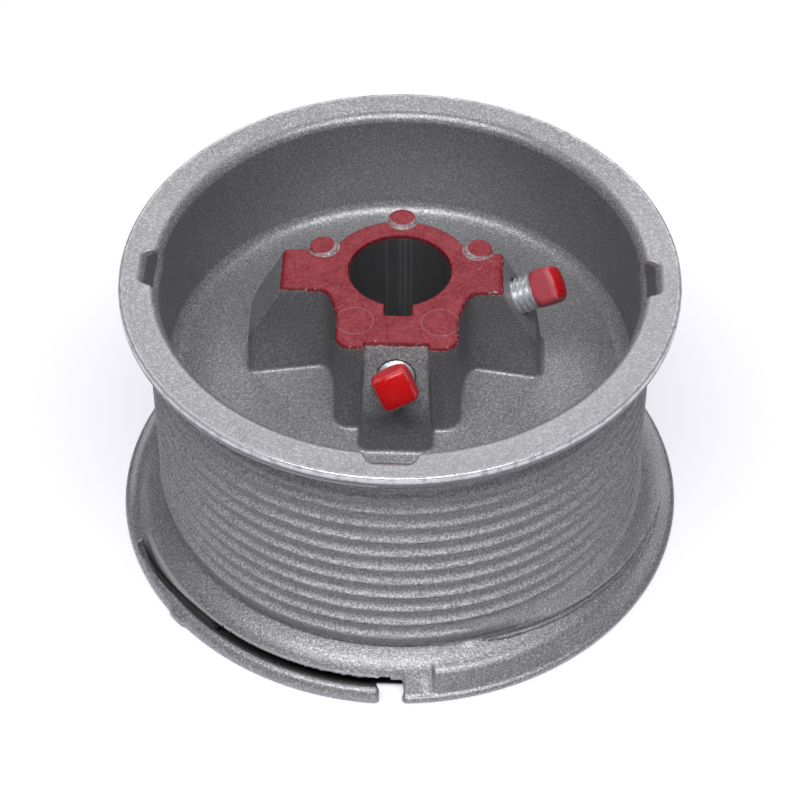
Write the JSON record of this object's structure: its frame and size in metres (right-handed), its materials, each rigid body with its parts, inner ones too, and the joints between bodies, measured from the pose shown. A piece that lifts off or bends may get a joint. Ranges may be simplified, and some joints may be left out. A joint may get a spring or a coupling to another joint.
{
  "type": "garage door cable drum",
  "caption": "Cast cable drum for a sectional garage door: left-hand helical groove between a rim and an anchor flange, keyed hub with tilted square-head set screws.",
  "frame": {"origin": "on the shaft bore's axis, in the plane of the anchor flange's foot", "axes": "+Z along the bore from the anchor flange to the hub's painted face, -Y towards the keyway, the front set screw and the cable notch, +X towards the side set screw"},
  "size_m": [0.151, 0.1509, 0.084],
  "materials": {
    "cast_aluminium": "sand-textured die casting with red paint on the hub's top face",
    "painted_steel": "zinc-plated steel thread, head dipped in gloss red paint"
  },
  "bodies": {
    "drum": {"drum": "cast_aluminium"},
    "front_screw": {"front_set_screw": "painted_steel"},
    "side_screw": {"side_set_screw": "painted_steel"}
  },
  "joints": [
    {"name": "front_screw_travel", "type": "slide", "parent": "drum", "child": "front_screw", "axis": [0, -0.8829, 0.4695], "range_m": [-0.0038, 0.014]},
    {"name": "side_screw_travel", "type": "slide", "parent": "drum", "child": "side_screw", "axis": [0.8829, 0, 0.4695], "range_m": [-0.0038, 0.014]}
  ]
}
